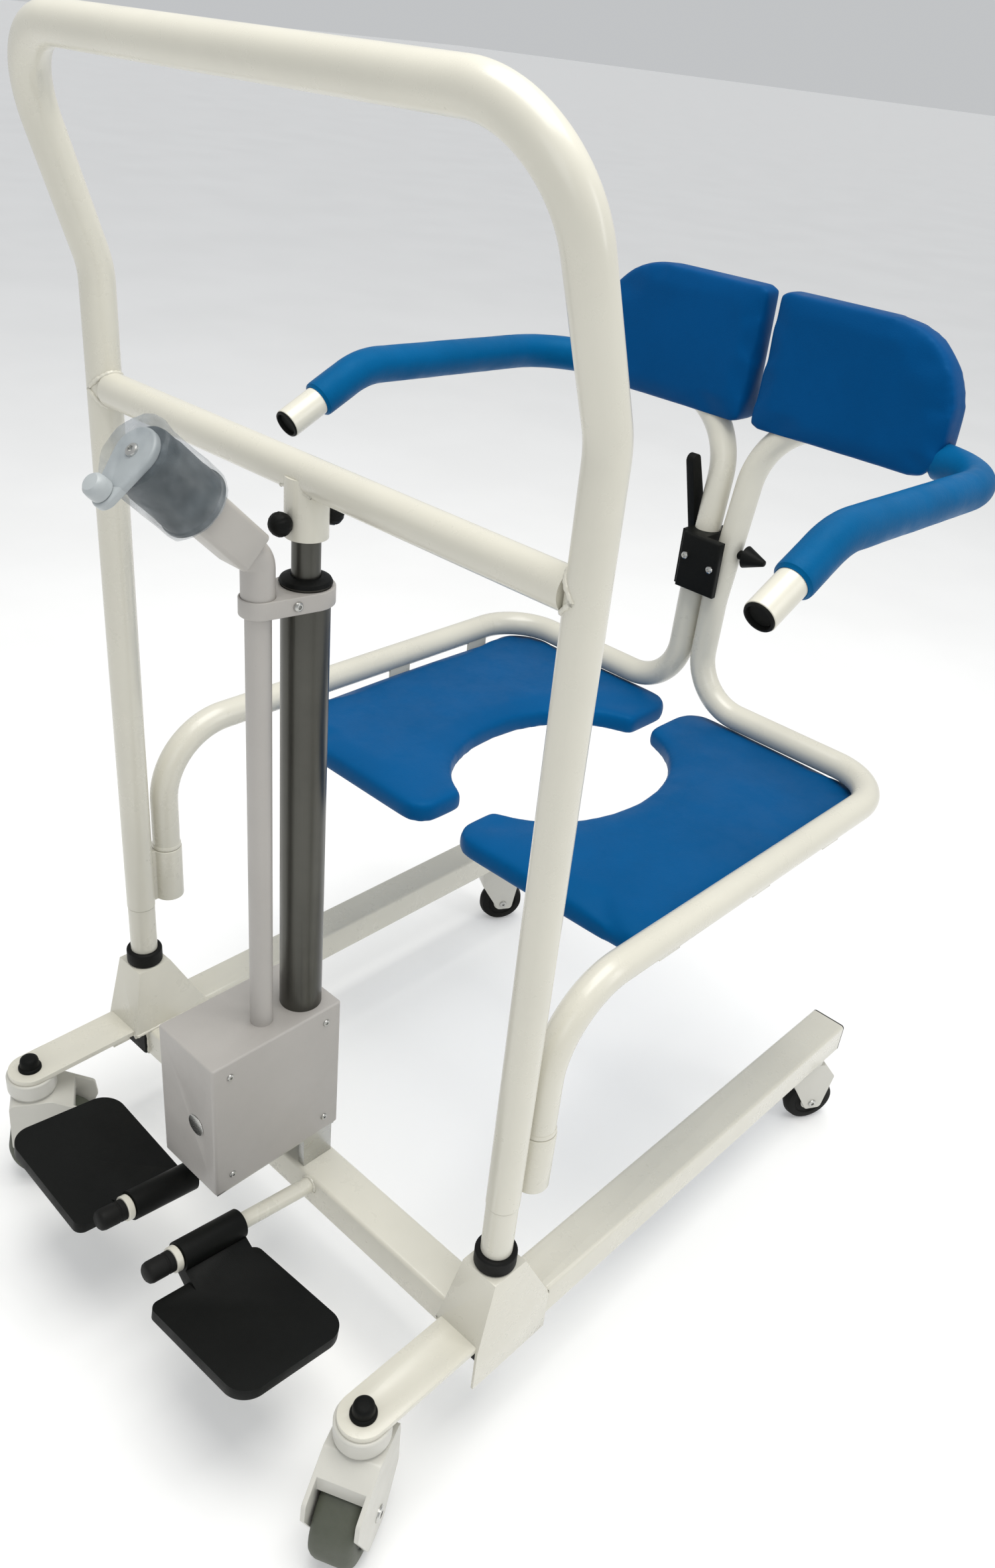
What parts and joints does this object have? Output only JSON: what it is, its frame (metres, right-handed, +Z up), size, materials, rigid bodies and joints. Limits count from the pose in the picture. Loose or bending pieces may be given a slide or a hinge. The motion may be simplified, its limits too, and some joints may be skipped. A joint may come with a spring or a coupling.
{
  "type": "sit to stand lift",
  "caption": "Wheeled patient transfer lift with a screw column, a split horseshoe seat and backrest that swing open, armrests, push handle, fold-up footplates and swivelling casters.",
  "frame": {"origin": "on the floor, in the plane of symmetry, directly under the lifting column and the two posts", "axes": "+Z up, +X to the right of someone seated facing the push handle side, +Y towards the backrest"},
  "size_m": [0.6036, 0.8147, 1.0933],
  "materials": {
    "frame_cream": "satin",
    "cover_grey": "satin",
    "column_steel": "satin",
    "machined_steel": "satin",
    "head_cream": "satin",
    "caster_cream": "satin",
    "black_plastic": "matte",
    "black_rubber": "matte",
    "seat_vinyl": "satin",
    "back_vinyl": "satin",
    "arm_vinyl": "satin",
    "tread_grey": "matte",
    "wrap_grey": "satin",
    "hub_grey": "satin"
  },
  "bodies": {
    "base": {"base_legs": "frame_cream", "cross_tube": "frame_cream", "leg_end_caps": "black_plastic", "post_sockets": "frame_cream", "front_arms": "frame_cream", "guide_tubes": "column_steel", "guide_sleeves": "column_steel", "socket_collars": "black_rubber", "swivel_rings": "caster_cream", "front_stem_caps": "black_plastic", "gearbox_frame": "machined_steel", "gearbox_cover": "cover_grey", "cover_plug": "machined_steel", "column_tube": "column_steel", "column_gland": "black_plastic", "clamp_plate": "cover_grey", "crank_tube": "cover_grey", "crank_elbow": "cover_grey", "gear_head": "head_cream", "foot_tubes": "frame_cream", "foot_plugs": "black_plastic"},
    "screw": {"lead_screw": "machined_steel", "screw_gear": "machined_steel"},
    "drive": {"drive_shaft": "machined_steel"},
    "crank": {"crank_shaft": "machined_steel", "crank_hub": "hub_grey", "crank_arm": "wrap_grey"},
    "grip": {"crank_grip": "wrap_grey"},
    "lift": {"handle_frame": "frame_cream", "crossbar": "frame_cream", "tee_sleeve": "frame_cream", "tee_knobs": "black_plastic", "piston_tube": "column_steel", "lift_nut": "machined_steel", "seat_hinges": "frame_cream"},
    "seat_left": {"seat_frame_left": "frame_cream", "seat_pad_left": "seat_vinyl", "back_pad_left": "back_vinyl", "pad_brackets_left": "frame_cream", "arm_foam_left": "arm_vinyl", "arm_cap_left": "black_plastic", "latch_block": "black_plastic"},
    "seat_right": {"seat_frame_right": "frame_cream", "seat_pad_right": "seat_vinyl", "back_pad_right": "back_vinyl", "pad_brackets_right": "frame_cream", "arm_foam_right": "arm_vinyl", "arm_cap_right": "black_plastic", "strike_knob": "black_plastic"},
    "latch": {"latch_lever": "black_plastic"},
    "foot_plate_right": {"foot_plate_right": "black_plastic"},
    "foot_plate_left": {"foot_plate_left": "black_plastic"},
    "front_fork_right": {"front_fork_right": "caster_cream"},
    "front_wheel_right": {"front_wheel_right": "tread_grey"},
    "front_fork_left": {"front_fork_left": "caster_cream"},
    "front_wheel_left": {"front_wheel_left": "tread_grey"},
    "rear_fork_right": {"rear_fork_right": "caster_cream"},
    "rear_wheel_right": {"rear_wheel_right": "black_rubber"},
    "rear_fork_left": {"rear_fork_left": "caster_cream"},
    "rear_wheel_left": {"rear_wheel_left": "black_rubber"}
  },
  "joints": [
    {"name": "lift_slide", "type": "slide", "parent": "base", "child": "lift", "axis": [0, 0, 1], "range_m": [0, 0.18]},
    {"name": "screw_turn", "type": "hinge", "parent": "base", "child": "screw", "pos_m": [0, 0, 0.2], "axis": [0, 0, 1], "range_deg": [-6500, 20]},
    {"name": "drive_turn", "type": "hinge", "parent": "base", "child": "drive", "pos_m": [0, -0.044, 0.2], "axis": [0, 0, 1], "range_deg": [-20, 6500]},
    {"name": "crank_turn", "type": "hinge", "parent": "base", "child": "crank", "pos_m": [0, -0.044, 0.768], "axis": [0, -0.7193, 0.6947], "range_deg": [-20, 6500]},
    {"name": "grip_spin", "type": "hinge", "parent": "crank", "child": "grip", "pos_m": [0, -0.16118, 0.83668], "axis": [0, -0.7193, 0.6947], "continuous": true},
    {"name": "seat_right_swing", "type": "hinge", "parent": "lift", "child": "seat_right", "pos_m": [0.2625, 0.034, 0.32], "axis": [0, 0, -1], "range_deg": [0, 100]},
    {"name": "seat_left_swing", "type": "hinge", "parent": "lift", "child": "seat_left", "pos_m": [-0.2625, 0.034, 0.32], "axis": [0, 0, 1], "range_deg": [0, 100]},
    {"name": "latch_lever_pull", "type": "hinge", "parent": "seat_left", "child": "latch", "pos_m": [-0.037, 0.58, 0.655], "axis": [1, 0, 0], "range_deg": [0, 55]},
    {"name": "foot_plate_right_flip", "type": "hinge", "parent": "base", "child": "foot_plate_right", "pos_m": [0.038, -0.0173, 0.131], "axis": [0, -0.9903, 0.1392], "range_deg": [0, 85]},
    {"name": "foot_plate_left_flip", "type": "hinge", "parent": "base", "child": "foot_plate_left", "pos_m": [-0.038, -0.0173, 0.131], "axis": [0, 0.9903, -0.1392], "range_deg": [0, 85]},
    {"name": "front_swivel_right", "type": "hinge", "parent": "base", "child": "front_fork_right", "pos_m": [0.26, -0.142, 0.1], "axis": [0, 0, 1], "continuous": true},
    {"name": "front_roll_right", "type": "hinge", "parent": "front_fork_right", "child": "front_wheel_right", "pos_m": [0.26719, -0.15741, 0.047], "axis": [0.9063, 0.4226, 0], "continuous": true},
    {"name": "front_swivel_left", "type": "hinge", "parent": "base", "child": "front_fork_left", "pos_m": [-0.26, -0.142, 0.1], "axis": [0, 0, 1], "continuous": true},
    {"name": "front_roll_left", "type": "hinge", "parent": "front_fork_left", "child": "front_wheel_left", "pos_m": [-0.25099, -0.12758, 0.047], "axis": [-0.848, 0.5299, 0], "continuous": true},
    {"name": "rear_swivel_right", "type": "hinge", "parent": "base", "child": "rear_fork_right", "pos_m": [0.261, 0.562, 0.1], "axis": [0, 0, 1], "continuous": true},
    {"name": "rear_roll_right", "type": "hinge", "parent": "rear_fork_right", "child": "rear_wheel_right", "pos_m": [0.2685, 0.57499, 0.031], "axis": [-0.866, 0.5, 0], "continuous": true},
    {"name": "rear_swivel_left", "type": "hinge", "parent": "base", "child": "rear_fork_left", "pos_m": [-0.261, 0.562, 0.1], "axis": [0, 0, 1], "continuous": true},
    {"name": "rear_roll_left", "type": "hinge", "parent": "rear_fork_left", "child": "rear_wheel_left", "pos_m": [-0.2535, 0.57499, 0.031], "axis": [-0.866, 0.5, 0], "continuous": true}
  ],
  "couplings": [
    {"joint": "screw_turn", "follows": "lift_slide", "rad_per_m": -628.32},
    {"joint": "drive_turn", "follows": "lift_slide", "rad_per_m": 628.32},
    {"joint": "crank_turn", "follows": "lift_slide", "rad_per_m": 628.32}
  ]
}
